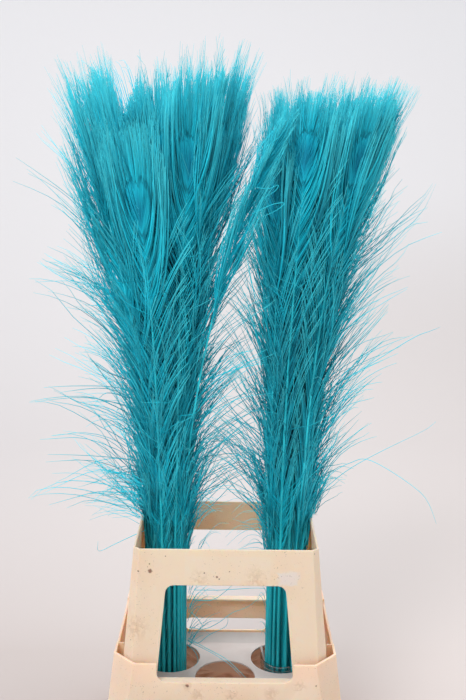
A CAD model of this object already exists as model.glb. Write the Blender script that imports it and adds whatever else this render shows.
# %% [markdown]
# # Dyed peacock feathers in a flower crate
#
# Two bunches of turquoise feathers stand in a peach plastic crate. The packed
# solids are the frame, and most pieces here take their place from them. The
# crate's solids only need soft edges and a worn plastic on them, but each
# feather is rebuilt, barb by barb, round the line that its solid follows.

import math

import bmesh
import bpy
import numpy as np
from mathutils import Matrix, Vector


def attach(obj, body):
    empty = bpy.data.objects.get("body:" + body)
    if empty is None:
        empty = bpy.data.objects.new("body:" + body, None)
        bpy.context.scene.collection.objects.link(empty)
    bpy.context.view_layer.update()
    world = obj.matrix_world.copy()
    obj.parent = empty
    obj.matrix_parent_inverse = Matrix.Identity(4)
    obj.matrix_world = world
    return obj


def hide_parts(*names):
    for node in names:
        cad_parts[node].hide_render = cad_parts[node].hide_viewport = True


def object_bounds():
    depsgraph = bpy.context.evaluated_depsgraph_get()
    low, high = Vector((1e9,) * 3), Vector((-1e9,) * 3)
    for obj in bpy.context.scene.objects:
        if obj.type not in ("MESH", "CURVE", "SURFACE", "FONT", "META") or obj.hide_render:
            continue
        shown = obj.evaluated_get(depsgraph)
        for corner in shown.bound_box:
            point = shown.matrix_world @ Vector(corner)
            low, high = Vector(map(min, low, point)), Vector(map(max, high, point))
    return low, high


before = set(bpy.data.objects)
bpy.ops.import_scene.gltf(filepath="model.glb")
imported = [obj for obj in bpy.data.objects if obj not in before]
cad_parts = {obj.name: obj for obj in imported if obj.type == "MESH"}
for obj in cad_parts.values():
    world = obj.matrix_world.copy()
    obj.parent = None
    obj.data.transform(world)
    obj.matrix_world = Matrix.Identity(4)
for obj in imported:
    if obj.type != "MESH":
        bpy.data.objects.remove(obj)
cad_box = [list(corner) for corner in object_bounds()]
feather_names = sorted(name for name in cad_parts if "_feather_" in name)
print("solids' box", cad_box, "feathers", len(feather_names))

# %% [markdown]
# ## The camera
#
# The photograph looks down by eleven degrees, from about the height of the
# feathers' heads. A camera is easiest to repeat from three angles: the direction
# that it looks in comes from its turn and its pitch, and its picture is then
# rolled a little.

# %% Camera
CAMERA_PLACE = Vector((0.00343, -1.37965, 0.92000))
CAMERA_PITCH = math.radians(10.983)
CAMERA_TURN = math.radians(0.157)
CAMERA_ROLL = math.radians(0.6406)
CAMERA_LENS = 46.52
SENSOR = 36


def put(name, data):
    """An object with this data, placed in the scene."""
    made = bpy.data.objects.new(name, data)
    bpy.context.scene.collection.objects.link(made)
    return made


def make_camera():
    camera_data = bpy.data.cameras.new("camera")
    camera_data.lens = CAMERA_LENS
    camera_data.sensor_width = SENSOR
    camera = put("camera", camera_data)
    level = math.cos(CAMERA_PITCH)
    sine, cosine = math.sin(CAMERA_TURN), math.cos(CAMERA_TURN)
    forward = Vector((sine * level, cosine * level, -math.sin(CAMERA_PITCH)))
    right = Vector((cosine, -sine, 0))
    up = right.cross(forward)
    rolled_right = math.cos(CAMERA_ROLL) * right + math.sin(CAMERA_ROLL) * up
    rolled_up = math.cos(CAMERA_ROLL) * up - math.sin(CAMERA_ROLL) * right
    turn = Matrix((rolled_right, rolled_up, -forward)).transposed()
    camera.matrix_world = Matrix.Translation(CAMERA_PLACE) @ turn.to_4x4()
    bpy.context.scene.camera = camera
    return camera


camera = make_camera()
print("camera at", tuple(camera.matrix_world.translation))

# %% [markdown]
# ## Wires
#
# Shaders and Geometry Nodes are both trees of nodes. A wire stands for one socket
# of such a tree, and a sum on wires adds the Math nodes for it, so a formula reads
# like a formula. Every other kind of node comes from one method, `add`.


# %% Wires
class Wire:
    """One output socket of a node tree. Arithmetic on it adds Math nodes."""

    def __init__(self, tree, socket=None):
        self.tree = tree
        self.socket = socket

    def add(self, kind, settings=None, sockets=None, out=0):
        node = self.tree.nodes.new(kind)
        for name, value in (settings or {}).items():
            if name == "stops":
                ramp = node.color_ramp
                for number, (place, colour) in enumerate(value):
                    stop = ramp.elements[number] if number < 2 else ramp.elements.new(place)
                    stop.position = place
                    stop.color = colour
            else:
                setattr(node, name, value)
        for name, value in (sockets or {}).items():
            if isinstance(value, Wire):
                self.tree.links.new(value.socket, node.inputs[name])
            else:
                node.inputs[name].default_value = value
        return Wire(self.tree, node.outputs[out])

    def maths(self, operation, *others, clamp=False):
        settings = {"operation": operation, "use_clamp": clamp}
        return self.add("ShaderNodeMath", settings, dict(enumerate((self, *others))))

    def __add__(self, other):
        return self.maths("ADD", other)

    __radd__ = __add__

    def __sub__(self, other):
        return self.maths("SUBTRACT", other)

    def __rsub__(self, other):
        return self.maths("MULTIPLY_ADD", -1.0, other)

    def __mul__(self, other):
        return self.maths("MULTIPLY", other)

    __rmul__ = __mul__

    def __truediv__(self, other):
        return self.maths("DIVIDE", other)

    def __pow__(self, other):
        return self.maths("POWER", other)

    def clamped(self):
        return self.maths("ADD", 0.0, clamp=True)

    def step(self, low, high):
        """0 below low, 1 above high and a smooth slope between them."""
        sockets = {"Value": self, "From Min": low, "From Max": high}
        return self.add("ShaderNodeMapRange", {"interpolation_type": "SMOOTHSTEP"}, sockets)

    def axis(self, number):
        """One number of a vector: 0 is x, 1 is y and 2 is z."""
        return self.add("ShaderNodeSeparateXYZ", None, {"Vector": self}, out=number)

    def noise(self, scale, **more):
        """Noise at the places that a vector holds."""
        return self.add("ShaderNodeTexNoise", None, {"Vector": self, "Scale": scale, **more})


def blend(factor, first, second):
    """A colour that goes from the first to the second as the factor goes from 0 to 1."""
    settings = {"data_type": "RGBA"}
    return factor.add("ShaderNodeMix", settings, {0: factor, 6: first, 7: second}, out=2)


# %% [markdown]
# ## How a barb grows
#
# A feather's vane is a row of barbs on each side of the shaft. Low on the shaft
# they are long and loose, fly off to the sides and droop. Near the eye they bend
# back up beside it, and their tips make the fringe. All of them are one rule: a
# barb starts at a height on the shaft, reaches sideways, rises, and may droop. So
# one Geometry Nodes tree grows a row of barbs from a handful of numbers, and a
# feather is its shaft with a few such rows on it.

# %% The tree that grows a row of barbs
ROW_INPUTS = (
    *("Barbs", "Points", "Clump", "Start", "End", "Reach at start", "Reach at end"),
    *("Rise at start", "Rise at end", "Flare", "Droop at start", "Droop at end"),
    *("Lift low", "Lift high", "Looseness", "Ragged", "Cling", "Wave", "Fan"),
    *("Stand off", "Thickness", "Seed", "Material"),
)
INPUT_KINDS = {"Barbs": "Int", "Points": "Int", "Seed": "Int", "Material": "Material"}
REACH_VARIES = (0.55, 0.25)
RISE_VARIES = (0.60, 0.40)
TONE_VARIES = (0.22, 0.28)
LIFT_VARIES = (0.18, 0.50)
ROOT_VARIES = 0.0012
THINNER_TIP = 0.68


def make_row_tree():
    tree = bpy.data.node_groups.new("row_of_barbs", "GeometryNodeTree")
    tree.interface.new_socket("Geometry", in_out="INPUT", socket_type="NodeSocketGeometry")
    for name in ROW_INPUTS:
        kind = "NodeSocket" + INPUT_KINDS.get(name, "Float")
        tree.interface.new_socket(name, in_out="INPUT", socket_type=kind)
    tree.interface.new_socket("Geometry", in_out="OUTPUT", socket_type="NodeSocketGeometry")
    entry = tree.nodes.new("NodeGroupInput")
    grow = Wire(tree)

    def given(name):
        return Wire(tree, entry.outputs[name])

    def chance(who, salt, low=-1.0, high=1.0):
        sockets = {2: low, 3: high, "ID": who, "Seed": given("Seed") + salt}
        return grow.add("FunctionNodeRandomValue", {"data_type": "FLOAT"}, sockets, out=1)

    line = grow.add("GeometryNodeCurvePrimitiveLine", None, {"End": (0, 0, 1)})
    line = grow.add("GeometryNodeResampleCurve", None, {"Curve": line, "Count": given("Points")})
    copies = tree.nodes.new("GeometryNodeDuplicateElements")
    copies.domain = "SPLINE"
    tree.links.new(line.socket, copies.inputs["Geometry"])
    tree.links.new(given("Barbs").socket, copies.inputs["Amount"])
    number = Wire(tree, copies.outputs["Duplicate Index"])
    along = grow.add("GeometryNodeSplineParameter")

    side = number.maths("MODULO", 2.0)
    clump = (number / (2.0 * given("Clump"))).maths("FLOOR") * 2.0 + side
    own_share = (number + 0.5) / given("Barbs")
    clump_share = ((clump * 0.5).maths("FLOOR") + 0.5) * (2.0 * given("Clump")) / given("Barbs")
    cling = given("Cling") * (1.0 - (1.0 - along) ** 2.0)
    share = own_share * (1.0 - cling) + clump_share * cling
    loose = given("Looseness")

    def over_row(name):
        return given(name + " at start") * (1.0 - share) + given(name + " at end") * share

    def varied(shares, salt):
        """Chance that a clump of barbs shares, and then each barb's own."""
        return shares[0] * chance(clump, salt) + shares[1] * chance(number, salt + 1)

    reach = over_row("Reach") * (1.0 + loose * varied(REACH_VARIES, 1))
    rise = over_row("Rise") * (1.0 + given("Ragged") * varied(RISE_VARIES, 3))
    flare = given("Flare")
    early = 1.0 - (1.0 - along) ** 3.0
    sideways = reach * (early * (1.0 - flare) + along * along * flare)
    droop = over_row("Droop") * chance(clump, 5, 0.0, 1.0)
    wave = (along * chance(clump, 13, 4.0, 11.0) + chance(number, 6, 0.0, 6.0)).maths("SINE")
    swing = (along * chance(clump, 14, 3.0, 9.0) + chance(number, 15, 0.0, 6.0)).maths("SINE")
    fan = along**2.0 * given("Fan") * chance(clump, 16)
    sideways = sideways + wave * along * given("Wave") + fan
    upward = rise * (along - droop * 0.5 * along * along) + swing * along * given("Wave")

    lift_range = given("Lift high") - given("Lift low")
    lift = given("Lift low") + lift_range * chance(clump, 7, 0.0, 1.0)
    own_lift = LIFT_VARIES[0] * chance(number, 8)
    lift = lift + loose * (own_lift + LIFT_VARIES[1] * along * chance(clump, 9))
    heading = side * math.pi + lift * (1.0 - 2.0 * side)
    root = given("Start") + (given("End") - given("Start")) * share
    root = root + chance(number, 10) * ROOT_VARIES
    sockets = {
        "X": sideways * heading.maths("COSINE"),
        "Y": sideways * heading.maths("SINE") + given("Stand off"),
        "Z": root + upward,
    }
    place = grow.add("ShaderNodeCombineXYZ", None, sockets)
    copied = Wire(tree, copies.outputs["Geometry"])
    barbs = grow.add("GeometryNodeSetPosition", None, {"Geometry": copied, "Position": place})
    tone = 0.5 + varied(TONE_VARIES, 11)
    for name, value in (("along", along), ("tone", tone)):
        settings = {"data_type": "FLOAT", "domain": "POINT"}
        sockets = {"Geometry": barbs, "Name": name, "Value": value}
        barbs = grow.add("GeometryNodeStoreNamedAttribute", settings, sockets)
    width = given("Thickness") * (1.0 - THINNER_TIP * along**3.0)
    profile = grow.add("GeometryNodeCurvePrimitiveCircle", None, {"Resolution": 3, "Radius": 1.0})
    sockets = {"Curve": barbs, "Profile Curve": profile, "Scale": width, "Fill Caps": True}
    skin = grow.add("GeometryNodeCurveToMesh", None, sockets)
    skin = grow.add("GeometryNodeRealizeInstances", None, {"Geometry": skin})
    sockets = {"Geometry": skin, "Material": given("Material")}
    skin = grow.add("GeometryNodeSetMaterial", None, sockets)
    join = tree.nodes.new("GeometryNodeJoinGeometry")
    tree.links.new(skin.socket, join.inputs[0])
    tree.links.new(entry.outputs["Geometry"], join.inputs[0])
    leave = tree.nodes.new("NodeGroupOutput")
    tree.links.new(join.outputs[0], leave.inputs["Geometry"])
    return tree


row_tree = make_row_tree()
row_sockets = {
    item.name: item.identifier
    for item in row_tree.interface.items_tree
    if item.in_out == "INPUT" and item.name != "Geometry"
}
print("row tree", len(row_tree.nodes), "nodes,", len(row_sockets), "inputs")

# %% [markdown]
# ## The finishes
#
# The dye is one turquoise, yet no two barbs look alike: each takes the light and
# the dye a little differently, the tips are thin and pale, and the eye is bluer.
# The numbers for that are stored on each barb as it grows. The quill is smoother
# and a touch greener.


# %% Feather finishes
def new_material(name, constants):
    """A material, its shader, and a wire that holds the place on the piece."""
    material = bpy.data.materials.new(name)
    material.use_nodes = True
    shader = material.node_tree.nodes["Principled BSDF"]
    for socket, value in constants.items():
        shader.inputs[socket].default_value = value
    return material, shader, Wire(material.node_tree).add("ShaderNodeTexCoord", out=3)


def plug(shader, name, wire):
    shader.id_data.links.new(wire.socket, shader.inputs[name])


def stored(place, name):
    """A number that each barb carries."""
    return place.add("ShaderNodeAttribute", {"attribute_name": name}, out=2)


def streaks_along(place, scale):
    """Noise that is drawn out along the feather."""
    stretched = place.add("ShaderNodeMapping", None, {"Vector": place, "Scale": scale})
    return stretched.noise(1.0)


def dress(shader, colour, roughness, height, strength, distance):
    """Plugs in what varies: a colour, a roughness, and a bump from a height."""
    sockets = {"Strength": strength, "Distance": distance, "Height": height}
    plug(shader, "Base Color", colour)
    plug(shader, "Roughness", roughness)
    plug(shader, "Normal", height.add("ShaderNodeBump", None, sockets))


DEEP_DYE = (0.001, 0.230, 0.330, 1)
BRIGHT_DYE = (0.012, 0.760, 0.960, 1)
PALE_TIP = (0.120, 0.900, 0.990, 1)
INNER_DYE = (0.000, 0.070, 0.115, 1)
QUILL_DYES = ((0.004, 0.400, 0.490, 1), (0.022, 0.700, 0.820, 1))
WEB_DYES = ((0.001, 0.150, 0.210, 1), (0.003, 0.380, 0.470, 1))
EYE_RINGS = (
    (0.00, (0.004, 0.500, 0.640, 1)),
    (0.08, (0.001, 0.210, 0.320, 1)),
    (0.16, (0.012, 0.600, 0.780, 1)),
    (0.45, (0.006, 0.460, 0.640, 1)),
    (0.85, (0.003, 0.280, 0.450, 1)),
)
EYE_EDGE = (0.01, 0.07)


def eye_colour(eye):
    return eye.add("ShaderNodeValToRGB", {"stops": EYE_RINGS}, {"Fac": eye})


def make_barb_material():
    material, shader, place = new_material("dyed_barb", {"Specular IOR Level": 0.25})
    tone, eye = stored(place, "tone"), stored(place, "eye")
    patches = place.noise(28.0)
    dye = blend((tone * 1.3 + patches * 0.5 - 0.35).clamped(), DEEP_DYE, BRIGHT_DYE)
    dye = blend(stored(place, "along") ** 2.5 * 0.75, dye, PALE_TIP)
    dye = blend(stored(place, "shade"), dye, INNER_DYE)
    dye = blend(eye.step(*EYE_EDGE) * 0.85, dye, eye_colour(eye))
    dress(shader, dye, 0.50 + 0.25 * patches, place.noise(2600.0), 0.35, 0.0002)
    return material


def make_quill_material():
    material, shader, place = new_material("dyed_quill", {})
    streaks = streaks_along(place, (260, 260, 9))
    dye = blend(streaks.step(0.3, 0.7), *QUILL_DYES)
    dress(shader, dye, 0.24 + 0.2 * streaks, streaks, 0.3, 0.0003)
    return material


def make_web_material():
    material, shader, place = new_material("shaded_web", {"Specular IOR Level": 0.1})
    strands = streaks_along(place, (420, 420, 24))
    eye = stored(place, "eye")
    dye = blend(strands.step(0.35, 0.65), *WEB_DYES)
    dye = blend(eye.step(*EYE_EDGE), dye, eye_colour(eye))
    dress(shader, dye, 0.6 + 0.2 * strands, strands, 0.5, 0.0006)
    return material


barb_material = make_barb_material()
quill_material = make_quill_material()
web_material = make_web_material()
print("finishes", barb_material.name, quill_material.name, web_material.name)

# %% [markdown]
# ## Reading a feather from its solid
#
# A solid holds all that a feather needs: the middle of its lowest face is the
# foot, the middle of its highest face is the tip, and that face is long across
# the vane. Between them the quill drifts outwards with the cube of its height.

# %% Feather lines
EYE_TO_TIP = {"left": 0.135, "right": 0.105}
SHOWN = {"left": (2, 3), "right": (1, 2, 11)}
SHOWN_PUSH = 0.017
BODY_PUSH = 0.006
BODY_PUSH_FROM = 0.290
BODY_PUSH_OVER = 0.160
DRIFT_POWER = 3
DRIFT_END = 1.12
END_WITHIN = 1e-4
KINDS = ("inner", "middle", "outer")
KIND_FROM = (0.017, 0.025)


def mesh_points(mesh):
    points = np.empty(3 * len(mesh.vertices), dtype=np.float32)
    mesh.vertices.foreach_get("co", points)
    return points.reshape(-1, 3).astype(float)


def read_feather(name):
    points = np.unique(np.round(mesh_points(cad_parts[name].data), 6), axis=0)
    low = points[points[:, 2] < points[:, 2].min() + END_WITHIN]
    high = points[points[:, 2] > points[:, 2].max() - END_WITHIN]
    spread = high - high.mean(axis=0)
    side = spread[np.argmax((spread**2).sum(axis=1))]
    side = side / np.linalg.norm(side)
    bunch = name.split("_")[0]
    tip = high.mean(axis=0)
    return {
        "name": name,
        "bunch": bunch,
        "number": int(name.split("_")[-1]),
        "foot": low.mean(axis=0),
        "tip": tip,
        "side": side,
        "eye": tip[2] - EYE_TO_TIP[bunch],
    }


def bunch_middle(bunch, end):
    """The middle of a bunch's feet or of its tips."""
    return np.mean([line[end] for line in lines if line["bunch"] == bunch], axis=0)


lines = [read_feather(name) for name in feather_names]
for line in lines:
    away = line["foot"] - bunch_middle(line["bunch"], "foot")
    out = np.array([line["side"][1], -line["side"][0], 0])
    if out @ away < 0:
        out, line["side"] = -out, -line["side"]
    line["out"] = out
    line["kind"] = KINDS[sum(np.linalg.norm(away[:2]) > start for start in KIND_FROM)]
    line["shown"] = line["number"] in SHOWN[line["bunch"]]
for bunch in ("left", "right"):
    print(bunch, "bunch stands round", np.round(bunch_middle(bunch, "foot"), 4))


ROOM = 0.035
GROWTH = 0.03
EDGE = 0.008
HEAD_PUSH_HEIGHT = 0.200


def keep_near(points):
    """Bends points that reach too far gently back, so no barb leaves its solids by much."""
    low, high = np.array(cad_box[0]), np.array(cad_box[1])
    reach = GROWTH * (high - low) + EDGE
    for axis in range(3):
        for sign, end in ((1, high[axis] + reach[axis]), (-1, -low[axis] + reach[axis])):
            if axis == 2 and sign < 0:
                continue
            over = np.maximum(sign * points[:, axis] - (end - ROOM), 0)
            points[:, axis] -= sign * (over - ROOM * (1 - np.exp(-over / ROOM)))
    return points


# A notch is its column in the picture, the height above which tips sink, its half
# width in metres, and the share of the height above it that they lose.
NOTCHES = (
    (129, 0.970, 0.0150, 0.95),
    (133, 1.000, 0.0090, 0.80),
    (96, 1.020, 0.0060, 0.70),
    (152, 1.030, 0.0060, 0.60),
    (176, 1.045, 0.0040, 0.55),
    (214, 1.040, 0.0050, 0.60),
    (232, 1.030, 0.0060, 0.60),
    (300, 1.020, 0.0040, 0.45),
    (346, 1.015, 0.0050, 0.60),
    (378, 1.020, 0.0045, 0.50),
)
PICTURE = (466, 700)
FOCAL_PIXELS = CAMERA_LENS / SENSOR * PICTURE[1]
NOTCH_SIDEWAYS = (-3.5, 3.5)
NOTCH_UP = (-0.010, 0.050)
NOTCH_SHARE = (0.75, 1.0)


def notch_the_top(points, seed):
    """Sinks the tips where the photograph shows gaps between the tufts at the top."""
    luck = np.random.default_rng(seed)
    depth = points[:, 1] - CAMERA_PLACE[1]
    for across, low, half, share in NOTCHES:
        across = across + luck.uniform(*NOTCH_SIDEWAYS)
        low = low + luck.uniform(*NOTCH_UP)
        away = points[:, 0] - (across - PICTURE[0] / 2) / FOCAL_PIXELS * depth
        sunk = share * luck.uniform(*NOTCH_SHARE) * np.exp(-((away / half) ** 2))
        points[:, 2] -= sunk * np.maximum(points[:, 2] - low, 0)
    return points


collar_points = mesh_points(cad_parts["crate_collar"].data)
RIM = collar_points[:, 2].max()
RIM_WITHIN = 0.0005
RIM_HALF = np.abs(collar_points[collar_points[:, 2] > RIM - RIM_WITHIN][:, :2]).max(axis=0)
RIM_WALL = 0.004
RIM_CLEARANCE = 0.004
RIM_SLOPE = 1.5
BELOW_RIM = 0.028
STEM_ROOM = 0.0055
ABOVE_TRAY = 0.25


def lie_over_the_rim(points, flat):
    """Lifts the barbs that would run through the collar's walls onto its rim."""
    inside = (RIM_HALF - RIM_WALL - np.abs(points[:, :2])).min(axis=1)
    lowest = RIM + RIM_CLEARANCE - RIM_SLOPE * np.maximum(inside, 0)
    barb = np.linalg.norm(flat[:, :2], axis=1) > STEM_ROOM
    near = barb & ((points[:, 2] > RIM - BELOW_RIM) | (inside < 0)) & (flat[:, 2] > ABOVE_TRAY)
    points[near, 2] = np.maximum(points[near, 2], lowest[near])
    return points


def bend_onto(line, flat):
    """Takes points of a straight feather, (across, outwards, height), to its real line."""
    share = (flat[:, 2] - line["foot"][2]) / (line["tip"][2] - line["foot"][2])
    drift = np.clip(share, 0, DRIFT_END) ** DRIFT_POWER
    bent = line["foot"] + drift[:, None] * (line["tip"] - line["foot"])
    head = np.clip((flat[:, 2] - line["eye"]) / HEAD_PUSH_HEIGHT + 1, 0, 1)[:, None]
    outwards = flat[:, 1:2]
    if line["shown"]:
        body = np.clip((flat[:, 2] - BODY_PUSH_FROM) / BODY_PUSH_OVER, 0, 1)[:, None]
        outwards = outwards + BODY_PUSH * body + (SHOWN_PUSH - BODY_PUSH) * head**2
    bent = bent + flat[:, :1] * line["side"] + outwards * line["out"]
    bent[:, 2] = flat[:, 2]
    bent = lie_over_the_rim(bent, flat)
    return keep_near(notch_the_top(bent, line["number"]))


# %% [markdown]
# ## Shafts and webs
#
# The shaft is a tapering tube. Behind each head the barbs are so tangled that
# they read as one thin dark leaf, the web. Both are closed skins through rings
# of points, so one helper makes them: it takes rings that all have the same
# number of points.


# %% Skins through rings
def skin(rings):
    """Points and faces of a closed skin through rings, a flat cap at each end."""
    count = len(rings[0])
    points = np.concatenate([np.asarray(ring, dtype=float) for ring in rings])
    faces = []
    for level in range(len(rings) - 1):
        for i in range(count):
            j = (i + 1) % count
            a, b = level * count, (level + 1) * count
            faces.append((a + i, a + j, b + j, b + i))
    last = (len(rings) - 1) * count
    faces.append(tuple(reversed(range(count))))
    faces.append(tuple(range(last, last + count)))
    return points, faces


def ring_round(middle, across, through, count):
    angles = np.arange(count) * math.tau / count
    ring = [across * np.cos(angles), through * np.sin(angles), np.zeros(count)]
    return middle + np.stack(ring, axis=1)


QUILL_RADIUS = 0.0031
NECK_RADIUS = 0.0013
SHAFT_SIDES = 8
SHAFT_RINGS = 15
SHAFT_TAPER = 0.8
WEB_RINGS = 11
WEB_SIDES = 10
WEB_BEHIND = 0.0012
WEB_BELOW_EYE = 0.125
WEB_BELOW_TIP = 0.095
WEB_WIDTHS = ((0, 0.003), (0.25, 0.013), (0.5, 0.020), (0.75, 0.017), (1, 0.002))
WEB_THICKNESS = 0.0005


def shaft_rings(low, eye):
    rings = []
    for share in np.linspace(0, 1, SHAFT_RINGS):
        radius = QUILL_RADIUS + (NECK_RADIUS - QUILL_RADIUS) * share**SHAFT_TAPER
        rings.append(ring_round((0, 0, low + (eye - low) * share), radius, radius, SHAFT_SIDES))
    return rings


def web_rings(line):
    """The thin dark leaf of tangled barbs behind a head."""
    low, high = line["eye"] - WEB_BELOW_EYE, line["tip"][2] - WEB_BELOW_TIP
    shares, widths = zip(*WEB_WIDTHS)
    rings = []
    for share in np.linspace(0, 1, WEB_RINGS):
        width = np.interp(share, shares, widths)
        middle = (0, -WEB_BEHIND, low + (high - low) * share)
        rings.append(ring_round(middle, width, WEB_THICKNESS, WEB_SIDES))
    return rings


def mesh_object(name, parts, materials):
    """One object from several skins. Those past the last material share it."""
    mesh = bpy.data.meshes.new(name)
    points, faces, slots = [], [], []
    for number, (part_points, part_faces) in enumerate(parts):
        start = sum(len(block) for block in points)
        points.append(part_points)
        faces += [tuple(start + index for index in face) for face in part_faces]
        slots += [min(number, len(materials) - 1)] * len(part_faces)
    mesh.from_pydata(np.concatenate(points).tolist(), [], faces)
    for material in materials:
        mesh.materials.append(material)
    mesh.polygons.foreach_set("material_index", slots)
    mesh.polygons.foreach_set("use_smooth", [True] * len(faces))
    return put(name, mesh)


print("shaft", SHAFT_SIDES, "sides, web", WEB_WIDTHS)

# %% [markdown]
# ## Rows of barbs
#
# A real feather changes its barbs as it goes up: a herringbone along the shaft
# with a few long ones that fly off and droop, then barbs that sweep up round the
# eye, then tight ones in the eye, and last the fringe. Each of these is one row.

# %% Rows of each kind of feather
HERRINGBONE_BARB = 0.00084
FLYAWAY_BARB = 0.00068
HEAD_BARB = 0.00070
SHOWN_BARB = 0.00085
FRINGE_BARB = 0.00042
EYE_BARB = 0.0006
LOWEST_ROOT = 0.335
LOW_ROOTS = (0.235, LOWEST_ROOT)
SKIRT_ROOTS = (0.275, 0.395)
FLYAWAY_FROM = 0.333
LEAN_ROOTS_FROM = 0.700
HERRINGBONE_TO_EYE = 0.120
NECK_TO_EYE = (0.160, 0.045)
NECK_RISE = 0.76
OTHER_BUNCH = {"left": 1.0, "right": -1.0}
RAGGED = {"left": 0.19, "right": 0.05}
FAN = {"left": 0.016, "right": 0.006}
AT_THE_SIDE = 0.45
AT_THE_FRONT = -0.6
TOWARDS_THE_OTHER = 0.3
ROW_DEFAULTS = {
    **{"Clump": 4.0, "Flare": 0.10, "Looseness": 0.3, "Ragged": 0.2, "Cling": 0.35},
    **{"Wave": 0.0, "Fan": 0.0, "Stand off": 0.001, "Droop": (0.0, 0.0)},
}


def row(barbs, points, roots, reach, rise, lift, thickness=HEAD_BARB, **more):
    """The inputs of one row. Pairs run from its lowest barb to its highest one."""
    values = {**ROW_DEFAULTS, "Barbs": barbs, "Points": points, "Thickness": thickness}
    values.update({"Reach": reach, "Rise": rise}, **more)
    values["Start"], values["End"] = roots
    values["Lift low"], values["Lift high"] = lift
    for name in ("Reach", "Rise", "Droop"):
        values[name + " at start"], values[name + " at end"] = values.pop(name)
    return values


def herringbone(barbs, line):
    """Barbs along the shaft. At the sides of a bunch they also lift outwards."""
    roots = (LOWEST_ROOT, line["eye"] - HERRINGBONE_TO_EYE)
    more = {"Flare": 0.72, "Droop": (0.5, 0.0), "Wave": 0.0010, "Clump": 3.0}
    if line["shown"]:
        more.update({"Looseness": 0.22, "Cling": 0.30, "Stand off": -0.0004})
        lift = (-0.06, 0.10)
    else:
        more.update({"Looseness": 0.40, "Cling": 0.65, "Stand off": -0.0014})
        lift = (-0.75, 0.70) if abs(line["out"][0]) > AT_THE_SIDE else (-0.75, -0.05)
    points = 7 if line["shown"] else 6
    if line["bunch"] == "right":
        reach, rise = (0.019, 0.066), (0.125, 0.132)
    else:
        reach, rise = (0.026, 0.078), (0.105, 0.130)
    return row(barbs, points, roots, reach, rise, lift, HERRINGBONE_BARB, **more)


def low_barbs(barbs, line):
    """Short barbs where the collar and the tray keep the bunch together."""
    more = {"Flare": 0.72, "Looseness": 0.5, "Cling": 0.3}
    reach, rise = (0.010, 0.020), (0.07, 0.09)
    return row(barbs, 5, LOW_ROOTS, reach, rise, (-1.2, 0.1), FRINGE_BARB, **more)


def skirt(barbs, line):
    """Short barbs that widen the bunch where it leaves the collar."""
    more = {"Flare": 0.3, "Wave": 0.0030, "Clump": 3.0, "Droop": (1.0, 0.6)}
    lift = (0.1, 1.4) if abs(line["out"][0]) > AT_THE_SIDE else (-0.2, 0.3)
    reach, rise = (0.013, 0.038), (0.070, 0.100)
    return row(barbs, 6, SKIRT_ROOTS, reach, rise, lift, FLYAWAY_BARB, **more)


# Each place has the pairs for droop, reach, rise and lift.
FLYAWAYS = {
    "front": ((1.0, 0.3), (0.080, 0.060), (0.105, 0.130), (0.0, 0.6)),
    "gap": ((1.1, 0.2), (0.090, 0.070), (0.110, 0.160), (0.2, 1.5)),
    "left": ((2.2, 0.5), (0.145, 0.095), (0.095, 0.165), (0.4, 1.55)),
    "right": ((1.2, 0.5), (0.052, 0.100), (0.125, 0.150), (0.4, 1.55)),
}
FLYAWAY_TO_EYE = {"left": 0.085, "right": 0.150}


def flyaways(barbs, line):
    """Long barbs that fly off, fewer at the front, and drooping low on the left."""
    where = line["bunch"]
    roots = (FLYAWAY_FROM, line["eye"] - FLYAWAY_TO_EYE[where])
    if line["out"][1] < AT_THE_FRONT:
        where, barbs = "front", barbs // 4
    elif line["out"][0] * OTHER_BUNCH[where] > TOWARDS_THE_OTHER:
        where = "gap"
    droop, reach, rise, lift = FLYAWAYS[where]
    more = {"Flare": 0.60, "Looseness": 1.0, "Cling": 0.70, "Wave": 0.0060, "Droop": droop}
    return row(barbs, 9, roots, reach, rise, lift, FLYAWAY_BARB, **more)


def neck(barbs, line):
    """Barbs that start below the eye, sweep up beside it and end at the top."""
    eye, tip = line["eye"], line["tip"][2]
    rise = ((tip - eye + NECK_TO_EYE[0]) * NECK_RISE, tip - eye + 0.028)
    more = {"Looseness": 0.42, "Wave": 0.0050, "Ragged": RAGGED[line["bunch"]], "Cling": 0.5}
    more["Fan"] = FAN[line["bunch"]]
    thickness = HEAD_BARB
    if line["shown"]:
        more.update({"Looseness": 0.20, "Wave": 0.0018, "Clump": 3.0, "Cling": 0.6, "Fan": 0.006})
        thickness = SHOWN_BARB
    roots = (eye - NECK_TO_EYE[0], eye - NECK_TO_EYE[1])
    return row(barbs, 7, roots, (0.047, 0.029), rise, (-0.15, 0.30), thickness, **more)


def eye_barbs(barbs, line):
    """Tight barbs that carry the eye."""
    eye, tip = line["eye"], line["tip"][2]
    rise = (tip - eye + 0.030, tip - eye - 0.032)
    more = {"Looseness": 0.24, "Flare": 0.05, "Stand off": 0.0016, "Wave": 0.0008}
    more["Ragged"] = RAGGED[line["bunch"]]
    roots = (eye - 0.048, eye + 0.022)
    return row(barbs, 5, roots, (0.028, 0.001), rise, (0.0, 0.10), EYE_BARB, **more)


def fringe(barbs, line):
    """Thin loose barbs round the head, whose tips make its soft edge."""
    eye, tip = line["eye"], line["tip"][2]
    rise = (tip - eye + 0.038, tip - eye - 0.022)
    more = {"Looseness": 0.9, "Flare": 0.35, "Cling": 0.7, "Wave": 0.0045, "Clump": 6.0}
    more["Ragged"] = 1.6 * RAGGED[line["bunch"]]
    more["Fan"] = FAN[line["bunch"]]
    roots = (eye - 0.035, eye + 0.035)
    return row(barbs, 6, roots, (0.040, 0.018), rise, (-0.3, 0.5), FRINGE_BARB, **more)


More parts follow.
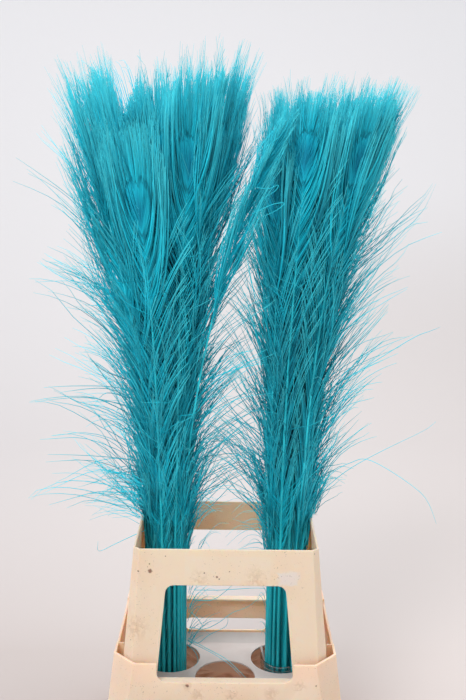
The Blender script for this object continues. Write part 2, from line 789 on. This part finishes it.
def leaning_barbs(barbs, line):
    roots, rise = (LEAN_ROOTS_FROM, line["tip"][2] - 0.040), (0.150, 0.050)
    more = {"Looseness": 0.9, "Flare": 0.4, "Cling": 0.8, "Wave": 0.0030, "Clump": 6.0}
    return row(barbs, 8, roots, (0.024, 0.012), rise, (-0.3, 1.0), FLYAWAY_BARB, **more)


SLIM_ROWS = ((herringbone, 60), (low_barbs, 16), (flyaways, 30), (neck, 80), (fringe, 30))
ROWS = {
    "outer": (
        *((herringbone, 116), (low_barbs, 24), (skirt, 36), (flyaways, 64)),
        *((neck, 120), (eye_barbs, 120), (fringe, 60)),
    ),
    "middle": ((herringbone, 100), (neck, 110), (eye_barbs, 80), (fringe, 40)),
    "inner": ((herringbone, 70), (neck, 70), (eye_barbs, 40), (fringe, 30)),
    "between": SLIM_ROWS,
    "side": SLIM_ROWS,
    "leaning": ((leaning_barbs, 260),),
}


def rows_for(line):
    return [make(barbs, line) for make, barbs in ROWS[line["kind"]]]


print("an outer feather has", sum(barbs for make, barbs in ROWS["outer"]), "barbs")

# %% [markdown]
# ## Growing the feathers
#
# A feather grows straight, and is then bent onto the line that its solid follows.
# The real bunches hold many more feathers than there are solids, so a slimmer
# feather without an eye stands between every two of the outside ones.


# %% Grow and bend
ROW_SEED_STEP = 31


def grow_rows(base, rows, seed):
    """Adds the rows to an object, and returns the result as a plain mesh."""
    for number, values in enumerate(rows):
        step = base.modifiers.new(f"row_{number}", "NODES")
        step.node_group = row_tree
        for name, value in values.items():
            step[row_sockets[name]] = value
        step[row_sockets["Seed"]] = seed + ROW_SEED_STEP * number
        step[row_sockets["Material"]] = barb_material
    ready = base.evaluated_get(bpy.context.evaluated_depsgraph_get())
    mesh = bpy.data.meshes.new_from_object(ready)
    base.modifiers.clear()
    return mesh


def store(mesh, name, values):
    layer = mesh.attributes.get(name) or mesh.attributes.new(name, "FLOAT", "POINT")
    layer.data.foreach_set("value", np.ascontiguousarray(values, dtype=np.float32))


EYE_HALF = {"left": (0.0128, 0.026), "right": (0.0150, 0.025)}
EYE_RAISED = 0.002
EYE_FALL = 1.5
WITH_EYE = ("outer", "middle", "inner")


def eye_mark(flat, line):
    """1 in the middle of the eye, and less away from it."""
    half = EYE_HALF[line["bunch"]]
    across, up = flat[:, 0] / half[0], (flat[:, 2] - line["eye"] - EYE_RAISED) / half[1]
    return float(line["kind"] in WITH_EYE) * np.exp(-((across**2 + up**2) ** EYE_FALL))


SHADES = {"outer": 0.10, "between": 0.50, "middle": 0.70, "inner": 0.80}
SHADE_WITHIN = 0.042
DARKER_BELOW = (0.640, 0.860)
DARKER_BY = {"left": 0.10, "right": 0.32}
LIGHTER_ABOVE_EYE = (0.030, 0.075)
LIGHTER_TIPS = 0.80
LIGHTER_BELOW = (0.340, 0.600)
LOW_SHADE = 0.25


def shade_mark(flat, line):
    """How deep in the bunch a barb lies: dark near the shaft, lighter at tips and feet."""
    height = flat[:, 2]
    shade = 0.0 if line["shown"] else SHADES.get(line["kind"], 0.0)
    shade = shade + DARKER_BY[line["bunch"]] * np.interp(height, DARKER_BELOW, (1, 0))
    shade *= np.exp(-np.sum(flat[:, :2] ** 2, axis=1) / SHADE_WITHIN**2)
    shade *= 1 - LIGHTER_TIPS * np.interp(height - line["eye"], LIGHTER_ABOVE_EYE, (0, 1))
    shade *= np.interp(height, LIGHTER_BELOW, (LOW_SHADE, 1))
    return np.clip(shade, 0, 1)


HEAD_DROPS = {"middle": 0.040, "inner": 0.055}
GOLDEN_SHARE = 0.618


def make_feather(line, node, seed):
    drop = HEAD_DROPS.get(line["kind"], 0.0) * (seed * GOLDEN_SHARE % 1.0)
    line = {**line, "tip": line["tip"] - np.array((0.0, 0.0, drop)), "eye": line["eye"] - drop}
    parts = [skin(shaft_rings(line["foot"][2], line["eye"]))]
    if line["kind"] in ("outer", "middle"):
        parts.append(skin(web_rings(line)))
    materials = [quill_material, web_material][: len(parts)]
    feather = mesh_object("grown_" + line["name"], parts, materials)
    mesh = grow_rows(feather, rows_for(line), seed)
    flat = mesh_points(mesh)
    store(mesh, "eye", eye_mark(flat, line))
    store(mesh, "shade", shade_mark(flat, line))
    bent = bend_onto(line, flat)
    mesh.vertices.foreach_set("co", bent.astype(np.float32).ravel())
    mesh.update()
    feather.data = mesh
    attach(feather, "root")
    if node:
        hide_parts(node)
    return feather


def triangles(pieces):
    return sum(len(piece.data.loops) - 2 * len(piece.data.polygons) for piece in pieces)


FIRST_SEED = {"left": 0, "right": 7000}
SEED_STEP = 100
feathers = []
for line in lines:
    seed = SEED_STEP * line["number"] + FIRST_SEED[line["bunch"]]
    feathers.append(make_feather(line, line["name"], seed))
print(len(feathers), "feathers,", triangles(feathers), "triangles")

# %% Feathers between the outside ones
BETWEEN_EYE_DROP = 0.045
BETWEEN_IN = 0.30
SLIM_FIRST_SEED = 400
SLIM_SEED_STEP = 57


def line_without_solid(name, bunch, number, foot, tip, out, eye, kind):
    """The line of a feather that stands between or beside the solid ones."""
    return {
        "name": name,
        "bunch": bunch,
        "number": number,
        "foot": foot,
        "tip": tip,
        "side": np.array([-out[1], out[0], 0.0]),
        "out": out,
        "eye": eye,
        "kind": kind,
        "shown": False,
    }


def line_between(first, second, number):
    bunch = first["bunch"]
    centre = bunch_middle(bunch, "foot")
    foot = (first["foot"] + second["foot"]) / 2
    spread = np.linalg.norm(first["foot"][:2] - centre[:2])
    away = foot[:2] - centre[:2]
    foot[:2] = centre[:2] + away * spread / np.linalg.norm(away)
    out = np.array([away[0], away[1], 0]) / np.linalg.norm(away)
    drop = BETWEEN_EYE_DROP * (1 + number % 3) / 3
    tip = (first["tip"] + second["tip"]) / 2
    tip = tip + BETWEEN_IN * (bunch_middle(bunch, "tip") - tip)
    tip[2] = (first["tip"][2] + second["tip"][2]) / 2 - drop
    name = f"between_{bunch}_{number:02d}"
    eye = (first["eye"] + second["eye"]) / 2 - drop
    return line_without_solid(name, bunch, number, foot, tip, out, eye, "between")


slim_feathers = []
for bunch in ("left", "right"):
    ring = [line for line in lines if line["bunch"] == bunch and line["kind"] == "outer"]
    ring.sort(key=lambda line: math.atan2(line["out"][1], line["out"][0]))
    for number, first in enumerate(ring):
        slim = line_between(first, ring[(number + 1) % len(ring)], number)
        seed = SLIM_FIRST_SEED + SLIM_SEED_STEP * number + len(bunch)
        slim_feathers.append(make_feather(slim, None, seed))
print(len(slim_feathers), "slim feathers,", triangles(slim_feathers), "triangles")

# %% [markdown]
# ## Feathers that lean out
#
# A paler feather leans out of the left bunch, over the gap to the right one. At
# the left side three slim ones lean outwards and turn their flat side to the
# viewer, which gives that bunch its soft, wide edge.

# %% Leaning feathers
LEAN_FOOT = np.array((-0.080, 0.035, 0.0043))
LEAN_TIP = np.array((0.084, -0.060, 1.005))
LEAN_FACES = np.array((0.37, -0.93, 0.0)) / math.hypot(0.93, 0.37)
LEAN_EYE_DROP = 0.120
LEAN_SEED = 911
SIDE_FOOT = np.array((-0.112, 0.030, 0.0043))
SIDE_TIPS = ((-0.228, -0.010, 1.020), (-0.214, -0.030, 0.965), (-0.196, -0.020, 0.900))
SIDE_FACES = np.array((-0.55, -0.835, 0.0))
SIDE_EYE_DROP = 0.115
SIDE_FIRST_SEED = 1200
SIDE_SEED_STEP = 83
lean_eye = LEAN_TIP[2] - LEAN_EYE_DROP
leaning_line = line_without_solid(
    "leaning", "left", 40, LEAN_FOOT, LEAN_TIP, LEAN_FACES, lean_eye, "leaning"
)
leaning = make_feather(leaning_line, None, LEAN_SEED)
print("leaning feather", triangles([leaning]), "triangles")
side_feathers = []
for number, tip in enumerate(SIDE_TIPS):
    name, eye = f"side_left_{number:02d}", tip[2] - SIDE_EYE_DROP
    side_line = line_without_solid(
        name, "left", 50 + number, SIDE_FOOT, np.array(tip), SIDE_FACES, eye, "side"
    )
    seed = SIDE_FIRST_SEED + SIDE_SEED_STEP * number
    side_feathers.append(make_feather(side_line, None, seed))
print(len(side_feathers), "side feathers,", triangles(side_feathers), "triangles")

# %% [markdown]
# ## Stray barbs
#
# A few single barbs catch the eye in the photograph: long arcs on the right, loops
# at the tip of the leaning feather, and loose ends in the window. Each was read
# off the photograph as a few picture places, from its root to its tip. The camera
# turns them back into places in the crate, at a depth that is guessed for each.
# Where many short ones lie side by side, chance lays them out within a range.

# %% Read strays off the picture
STRAY_RADIUS = 0.00055
LOOSE_RADIUS = 0.7 * STRAY_RADIUS
THREAD_SIDES = 4
THREAD_THINNER = 0.7
STRAY_LOOK = {"tone": 0.7, "along": 0.6}
# Each stray has the depths of its root and its tip, and its places in the picture:
# long ones on the right, one on the left, a bent end, loops at the leaning
# feather's tip, and loose ends in the window.
STRAYS = (
    (0.03, -0.10, ((312, 497), (330, 475), (350, 463), (372, 461), (420, 492), (444, 524))),
    (0.03, -0.06, ((318, 495), (345, 472), (380, 452), (443, 422))),
    (0.02, -0.06, ((345, 380), (380, 358), (415, 337), (432, 331), (447, 327))),
    (0.02, 0.00, ((330, 350), (352, 318), (378, 300), (408, 287))),
    (0.02, 0.00, ((326, 362), (350, 326), (380, 305), (407, 289))),
    (0.05, 0.03, ((107, 293), (92, 285), (70, 281), (35, 282))),
    (0.02, 0.00, ((146, 530), (132, 536), (115, 544), (99, 551), (98, 541))),
    (-0.04, -0.07, ((250, 160), (273, 131), (284, 121), (288, 123), (280, 136), (262, 150))),
    (-0.04, -0.07, ((252, 186), (267, 189), (278, 185), (275, 191), (262, 199))),
    (-0.04, -0.07, ((252, 214), (271, 205), (284, 203), (277, 210), (258, 219))),
    (0.02, -0.03, ((194, 600), (212, 600), (227, 590), (240, 577))),
    (0.02, 0.03, ((189, 627), (204, 629), (218, 623), (232, 613), (249, 606), (268, 590))),
    (0.02, -0.02, ((187, 640), (198, 643), (209, 635), (226, 626), (228, 615))),
    (0.02, -0.08, ((188, 638), (206, 648), (226, 659), (238, 670), (249, 681))),
    (0.02, -0.07, ((188, 641), (212, 653), (230, 665), (241, 676))),
    (0.02, -0.01, ((191, 612), (198, 619), (203, 627), (197, 626))),
    (0.02, 0.03, ((194, 590), (221, 590), (258, 588), (272, 591))),
    (0.02, -0.02, ((188, 645), (195, 652), (198, 661), (194, 667))),
)


def place_seen(across, down, depth):
    """The place that the camera sees at a picture place, on the plane y = depth."""
    right, up = across - PICTURE[0] / 2, PICTURE[1] / 2 - down
    ray = Vector((right / FOCAL_PIXELS, up / FOCAL_PIXELS, -1))
    ray = camera.matrix_world.to_3x3() @ ray
    start = camera.matrix_world.translation
    return np.array(start + ray * ((depth - start.y) / ray.y))


def smooth_path(points, steps=5):
    """A curve through the points, with more points between each two of them."""
    points = np.array(points)
    ends = np.concatenate([[2 * points[0] - points[1]], points, [2 * points[-1] - points[-2]]])
    path = []
    for a, b, c, d in zip(ends[:-3], ends[1:-2], ends[2:-1], ends[3:]):
        for t in np.arange(steps) / steps:
            bend = (2 * a - 5 * b + 4 * c - d) * t**2 + (3 * b - a - 3 * c + d) * t**3
            path.append(b + 0.5 * ((c - a) * t + bend))
    return np.array(path + [points[-1]])


def seen_path(places, depths, steps=5):
    """A curve through picture places, whose depths run evenly from the first to the last."""
    spread = np.linspace(depths[0], depths[1], len(places))
    seen = [place_seen(*place, depth) for place, depth in zip(places, spread)]
    return smooth_path(seen, steps)


def thread(path, radius):
    along = np.gradient(path, axis=0)
    along /= np.linalg.norm(along, axis=1)[:, None]
    across = np.cross(along, (0.0, 1.0, 0.0))
    across /= np.linalg.norm(across, axis=1)[:, None]
    through = np.cross(along, across)
    angles = np.arange(THREAD_SIDES)[:, None] * math.tau / THREAD_SIDES
    rings = []
    for number, middle in enumerate(path):
        width = radius * (1 - THREAD_THINNER * (number / (len(path) - 1)) ** 2)
        ring = np.cos(angles) * across[number] + np.sin(angles) * through[number]
        rings.append(middle + width * ring)
    return skin(rings)


BOW = (2, 8)
CURL = (-6, 6)
LOOSE_SHAPE = ((0.25, 0.30), (0.65, 0.75))


def loose_ends(count, seed, across, down, reach, climb):
    """Picture places of single barbs that leave a bunch side by side."""
    luck = np.random.default_rng(seed)
    for _ in range(count):
        u, v = luck.uniform(*across), luck.uniform(*down)
        length = luck.uniform(*reach)
        rise = luck.uniform(*climb) * abs(length)
        bow, curl = luck.uniform(*BOW), luck.uniform(*CURL)
        yield (
            (u, v),
            *((u + a * length, v - b * rise - bow) for a, b in LOOSE_SHAPE),
            (u + length, v - rise + curl),
        )


# Each row has its count and seed, where in the picture its roots lie across and
# down, how far the barbs reach and how steeply they climb, and their two depths.
LOOSE_ENDS = {
    "window, left stems": (26, 5, (187, 191), (590, 650), (6, 34), (0.4, 1.3), (0.030, 0.005)),
    "before the stems": (16, 6, (161, 186), (596, 668), (-7, 7), (1.0, 4.0), (-0.007, -0.012)),
    "window, right stems": (8, 7, (266, 268), (580, 640), (-14, -4), (0.2, 1.5), (0.030, 0.010)),
    "wisps in the notch": (24, 8, (110, 140), (106, 122), (-19, -9), (2.4, 3.3), (0.020, 0.030)),
    "over the rear bar": (20, 9, (262, 268), (492, 556), (-48, -14), (-0.5, 0.4), (0.020, -0.010)),
    "right of the left foot": (14, 10, (196, 202), (500, 560), (8, 34), (0.0, 0.9), (0.020, 0.000)),
    "left of the left foot": (46, 11, (138, 146), (478, 524), (-66, -22), (-0.1, 0.45), (0.0, 0.0)),
}
threads = []
for *settings, depths in LOOSE_ENDS.values():
    for places in loose_ends(*settings):
        threads.append(thread(keep_near(seen_path(places, depths, 3)), LOOSE_RADIUS))
for near_root, near_tip, places in STRAYS:
    threads.append(thread(keep_near(seen_path(places, (near_root, near_tip))), STRAY_RADIUS))
strays = mesh_object("stray_barbs", threads, [barb_material])
for name, value in STRAY_LOOK.items():
    store(strays.data, name, np.full(len(strays.data.vertices), value))
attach(strays, "root")
grown = feathers + slim_feathers + side_feathers + [leaning, strays]
print(len(threads), "strays; barbs in all", triangles(grown), "triangles")

# %% [markdown]
# ## The crate
#
# The crate's solids have the right shape but knife edges. Moulded plastic has
# small round edges that catch the light, so a copy of each solid is merged into
# one skin, its flat faces are joined, and its edges are bevelled.

# %% Plastic finishes
PEACH = (0.900, 0.635, 0.490, 1)
PEACH_DEEP = (0.840, 0.545, 0.385, 1)
PEACH_PALE = (0.860, 0.690, 0.590, 1)
DIRT = (0.150, 0.060, 0.035, 1)
TAN = (0.480, 0.270, 0.150, 1)
LABEL_PALE = (0.800, 0.660, 0.640, 1)
WHITE = (0.820, 0.725, 0.700, 1)
WHITE_WORN = (0.690, 0.590, 0.565, 1)
CLEAR = (0.93, 0.95, 0.95, 1)
# Spots and smudges are places on the front, each with its radius.
SPOTS = (
    (-0.1142, -0.1076, 0.3333, 0.0040),
    (-0.1150, -0.1060, 0.3440, 0.0014),
    (-0.1320, -0.1070, 0.3330, 0.0020),
    (-0.0910, -0.1050, 0.3560, 0.0013),
    (-0.0135, -0.1090, 0.3250, 0.0022),
    (-0.0100, -0.1090, 0.3220, 0.0015),
    (-0.0325, -0.1080, 0.3310, 0.0014),
    (0.0053, -0.1080, 0.3335, 0.0014),
    (0.1345, -0.1035, 0.3610, 0.0030),
    (0.1360, -0.1040, 0.3560, 0.0022),
    (-0.1440, -0.1190, 0.2270, 0.0016),
    (-0.0562, -0.1445, 0.1665, 0.0036),
    (0.1370, -0.1445, 0.1680, 0.0018),
)
SMUDGES = (
    (-0.0400, -0.1090, 0.3240, 0.016),
    (0.0460, -0.1090, 0.3250, 0.020),
    (-0.1350, -0.1160, 0.2450, 0.022),
    (-0.0562, -0.1445, 0.1665, 0.011),
    (-0.0400, -0.1445, 0.1520, 0.013),
    (0.0100, -0.1445, 0.1520, 0.013),
    (0.0700, -0.1445, 0.1540, 0.014),
    (0.1120, -0.1445, 0.1660, 0.012),
)
PALE_PATCH = ((0.0780, 0.1085), (0.3130, 0.3335))
PALE_BAND = ((-0.0620, 0.0670), (0.3200, 0.3560))
FRONT = (-0.100, -0.095)
PATCH_SOFT = (0.0030, 0.0024)
BAND_SOFT = 0.0010


def marks(place, noise, spots, ragged):
    """1 on the spots and 0 elsewhere; the noise makes their edges ragged."""
    total = noise * 0.0
    for x, y, z, radius in spots:
        sockets = {0: place, 1: (x, y, z)}
        away = place.add("ShaderNodeVectorMath", {"operation": "DISTANCE"}, sockets, out=1)
        near = 1.0 - (away / radius + (noise - 0.5) * ragged).step(0.45, 1.0)
        total = total.maths("MAXIMUM", near)
    return total


def inside(value, low, high, soft):
    return value.step(low - soft, low + soft) * (1.0 - value.step(high - soft, high + soft))


def make_peach_material():
    constants = {"Subsurface Weight": 0.45, "Subsurface Scale": 1.0}
    constants["Subsurface Radius"] = (0.020, 0.009, 0.004)
    material, shader, place = new_material("worn_peach_plastic", constants)
    clouds = place.noise(11.0, Detail=4.0)
    flecks = place.noise(95.0, Detail=3.0, Roughness=0.6)
    grain = place.noise(420.0)
    body = blend(clouds.step(0.42, 0.78) * 0.55, PEACH, PEACH_DEEP)
    body = blend(flecks.step(0.50, 0.80) * 0.35, body, PEACH_PALE)
    smudge = marks(place, flecks, SMUDGES, 3.6) * flecks.step(0.35, 0.60)
    body = blend(smudge * 0.38, body, TAN)
    across, height = place.axis(0), place.axis(2)
    front = 1.0 - place.axis(1).step(*FRONT)
    patch = inside(across + (flecks - 0.5) * 0.022, *PALE_PATCH[0], PATCH_SOFT[0])
    patch = patch * inside(height + (flecks - 0.5) * 0.014, *PALE_PATCH[1], PATCH_SOFT[1])
    body = blend(patch * front * 0.70, body, LABEL_PALE)
    band = inside(across, *PALE_BAND[0], BAND_SOFT) * inside(height, *PALE_BAND[1], BAND_SOFT)
    body = blend(band * front * 0.22, body, PEACH_PALE)
    specks = grain.step(0.66, 0.72) * clouds.step(0.44, 0.56)
    dirt = marks(place, grain, SPOTS, 0.9).maths("MAXIMUM", specks * 0.5)
    body = blend(dirt * 0.85, body, DIRT)
    relief = flecks * 0.7 + grain * 0.3 - dirt * 0.5
    dress(shader, body, 0.36 + 0.22 * clouds + 0.12 * flecks, relief, 0.16, 0.0006)
    return material


def make_white_material():
    material, shader, place = new_material("dull_white_plastic", {})
    smudges = place.noise(17.0, Detail=4.0)
    colour = blend(smudges.step(0.45, 0.75) * 0.6, WHITE, WHITE_WORN)
    dress(shader, colour, 0.45 + 0.2 * smudges, smudges, 0.1, 0.0005)
    return material


def make_clear_material():
    constants = {"Base Color": CLEAR, "Transmission Weight": 1.0, "IOR": 1.46}
    material, shader, place = new_material("thin_clear_plastic", constants)
    plug(shader, "Roughness", 0.10 + 0.15 * place.noise(40.0))
    return material


peach_material = make_peach_material()
white_material = make_white_material()
clear_material = make_clear_material()
print("finishes", peach_material.name, white_material.name, clear_material.name)


# %% Crate pieces
MERGE_WITHIN = 0.00002
FLAT_WITHIN = math.radians(1.0)
EDGE_FROM = math.radians(24)
EDGE_SEGMENTS = 3


def soften(node, name, material, width):
    """A copy of a solid in one skin, with flat faces and round edges."""
    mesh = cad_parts[node].data.copy()
    mesh.name = name
    bm = bmesh.new()
    bm.from_mesh(mesh)
    bmesh.ops.remove_doubles(bm, verts=bm.verts, dist=MERGE_WITHIN)
    bmesh.ops.dissolve_limit(
        bm, angle_limit=FLAT_WITHIN, verts=bm.verts, edges=bm.edges, delimit={"NORMAL"}
    )
    bm.to_mesh(mesh)
    bm.free()
    mesh.materials.clear()
    mesh.materials.append(material)
    piece = put(name, mesh)
    round_off = piece.modifiers.new("round_off", "BEVEL")
    round_off.width = width
    round_off.segments = EDGE_SEGMENTS
    round_off.limit_method = "ANGLE"
    round_off.angle_limit = EDGE_FROM
    round_off.harden_normals = True
    ready = piece.evaluated_get(bpy.context.evaluated_depsgraph_get())
    piece.data = bpy.data.meshes.new_from_object(ready)
    piece.modifiers.clear()
    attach(piece, "root")
    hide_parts(node)
    print(name, len(piece.data.polygons), "faces")


soften("crate_tub", "moulded_tub", peach_material, 0.0010)
soften("crate_collar", "moulded_collar", peach_material, 0.0009)
soften("hole_tray", "moulded_tray", white_material, 0.0007)
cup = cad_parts["clear_cup"]
cup.material_slots[0].material = clear_material

# %% [markdown]
# ## What shows through the holes
#
# Through the tray's holes the eye meets the tub's rear wall, pressed in facets, in
# the warm light that comes through the plastic. The clear cup shows only by its
# edges: a pale fold down its left side and two thin lines round its foot.

# %% Pressed facets and the cup's edges
FACET_HALF = (0.105, 0.038)
FACET_MIDDLE = 0.047
FACET_BACK = 0.1235
FACET_DEPTHS = (0.1210, 0.1130)
FACET_CENTRE_DEPTH = 0.1105
FACET_POINTS = 20
FACET_SQUARENESS = 0.6
FACET_SIZES = (1.0, 1.0, 0.55, 0.22)
FACET_SHADOW = (0.560, 0.270, 0.160, 1)
FACET_WARM = (0.760, 0.420, 0.280, 1)
FACET_GLOW = (0.960, 0.600, 0.430, 1)
FOLD_RADIUS = 0.0019
CUP_LINE_RADIUS = 0.0006
CUP_LINE_NEARER = (0.02, 0.001)
FOLD = ((261, 646), (263, 654), (265, 662), (267, 669))
CUP_LINES = (
    ((264, 667), (270, 670), (279, 672), (290, 671)),
    ((267, 664), (273, 667), (281, 668), (290, 667)),
)


def make_warm_material():
    constants = {"Emission Strength": 0.14}
    material, shader, place = new_material("plastic_lit_from_behind", constants)
    clouds = place.noise(60.0, Detail=3.0)
    colour = blend(clouds.step(0.3, 0.7), FACET_SHADOW, FACET_WARM)
    raised = 1.0 - place.axis(1).step(FACET_CENTRE_DEPTH, FACET_DEPTHS[0])
    colour = blend(raised**2.0 * 0.8, colour, FACET_GLOW)
    plug(shader, "Emission Color", colour)
    dress(shader, colour, 0.30 + 0.25 * clouds, clouds, 0.2, 0.0006)
    return material


def facet_ring(size, depths):
    angles = np.arange(FACET_POINTS) * math.tau / FACET_POINTS
    waves = np.array([np.cos(angles), np.sin(angles)])
    x, z = np.sign(waves) * np.abs(waves) ** FACET_SQUARENESS
    depth = np.resize(depths, FACET_POINTS)
    heights = FACET_MIDDLE + size * FACET_HALF[1] * z
    return np.stack([size * FACET_HALF[0] * x, depth, heights], axis=1)


facet_depths = ((FACET_BACK,), FACET_DEPTHS, FACET_DEPTHS[::-1], (FACET_CENTRE_DEPTH,))
facet_rings = [facet_ring(*ring) for ring in zip(FACET_SIZES, facet_depths)]
facets = mesh_object("pressed_facets", [skin(facet_rings)], [make_warm_material()])
facets.data.polygons.foreach_set("use_smooth", [False] * len(facets.data.polygons))
cup_depths = mesh_points(cup.data)[:, 1]
cup_middle = cup_depths.mean()
fold = np.array([place_seen(*place, cup_middle) for place in FOLD])
edges = [thread(fold, FOLD_RADIUS)]
depths = (cup_middle - CUP_LINE_NEARER[0], cup_depths.min() - CUP_LINE_NEARER[1])
for places in CUP_LINES:
    edges.append(thread(seen_path(places, depths), CUP_LINE_RADIUS))
cup_edges = mesh_object("clear_cup_edges", edges, [white_material])
for piece, slot in ((facets, "peach_plastic"), (cup_edges, "clear_plastic")):
    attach(piece, "root")
print("facets", len(facets.data.polygons), "faces, cup edges", len(cup_edges.data.polygons))

# %% [markdown]
# ## The studio
#
# The photograph has an almost white ground with no corner in it. A sheet that
# runs along the floor and curves up into a wall gives that. It is stage, so it
# isn't part of the object.

# %% Backdrop and lights
BACKDROP_HALF_WIDTH = 4.0
BACKDROP_FRONT = -3.0
BACKDROP_BEND_AT = 1.6
BACKDROP_BEND = 2.2
BACKDROP_TOP = 5.0
BEND_STEPS = 32
PAPER_NEAR = (0.432, 0.384, 0.373, 1)
PAPER_FAR = (0.900, 0.902, 0.932, 1)
PAPER_RIGHT = (0.620, 0.570, 0.556, 1)
FADE_FROM = 0.25
FADE_RATE = 0.189
FADE_POWER = 0.75


def make_backdrop():
    profile = [(BACKDROP_FRONT, 0.0)]
    for step in range(BEND_STEPS + 1):
        angle = math.radians(90 * step / BEND_STEPS)
        back = BACKDROP_BEND_AT + BACKDROP_BEND * math.sin(angle)
        profile.append((back, BACKDROP_BEND * (1 - math.cos(angle))))
    profile.append((BACKDROP_BEND_AT + BACKDROP_BEND, BACKDROP_TOP))
    points = [(x, y, z) for y, z in profile for x in (-BACKDROP_HALF_WIDTH, BACKDROP_HALF_WIDTH)]
    faces = [(2 * i, 2 * i + 1, 2 * i + 3, 2 * i + 2) for i in range(len(profile) - 1)]
    material, shader, place = new_material("pale_paper", {"Roughness": 0.9})
    across, height = place.axis(0), place.axis(2)
    far = ((height + place.axis(1) - FADE_FROM) * FADE_RATE).clamped() ** FADE_POWER
    tint = blend(far, PAPER_NEAR, PAPER_FAR)
    low_down = 1.0 - height.step(0.1, 0.9)
    tint = blend(across.step(-0.8, 0.8) * low_down * 0.55, tint, PAPER_RIGHT)
    plug(shader, "Base Color", tint)
    backdrop = mesh_object("backdrop", [(points, faces)], [material])


AIM = Vector((0.0, 0.0, 0.6))
LIGHT_SIZE = 1.4
LIGHTS = {"key": ((-1.15, -1.8, 2.9), 54), "top": ((0.2, 0.5, 2.7), 44)}
WORLD_STRENGTH = 0.80


def make_light(name, place, power):
    data = bpy.data.lights.new(name, "AREA")
    data.shape = "DISK"
    data.size = LIGHT_SIZE
    data.energy = power
    light = put(name, data)
    light.location = place
    light.rotation_mode = "QUATERNION"
    light.rotation_quaternion = (AIM - Vector(place)).to_track_quat("-Z", "Y")


make_backdrop()
for name, (place, power) in LIGHTS.items():
    make_light(name, place, power)
world = bpy.data.worlds.new("studio")
bpy.context.scene.world = world
world.use_nodes = True
sky = world.node_tree.nodes["Background"]
sky.inputs["Color"].default_value = (1, 1, 1, 1)
sky.inputs["Strength"].default_value = WORLD_STRENGTH
bpy.context.scene.view_settings.view_transform = "Standard"
print("backdrop and", len(LIGHTS), "lights")
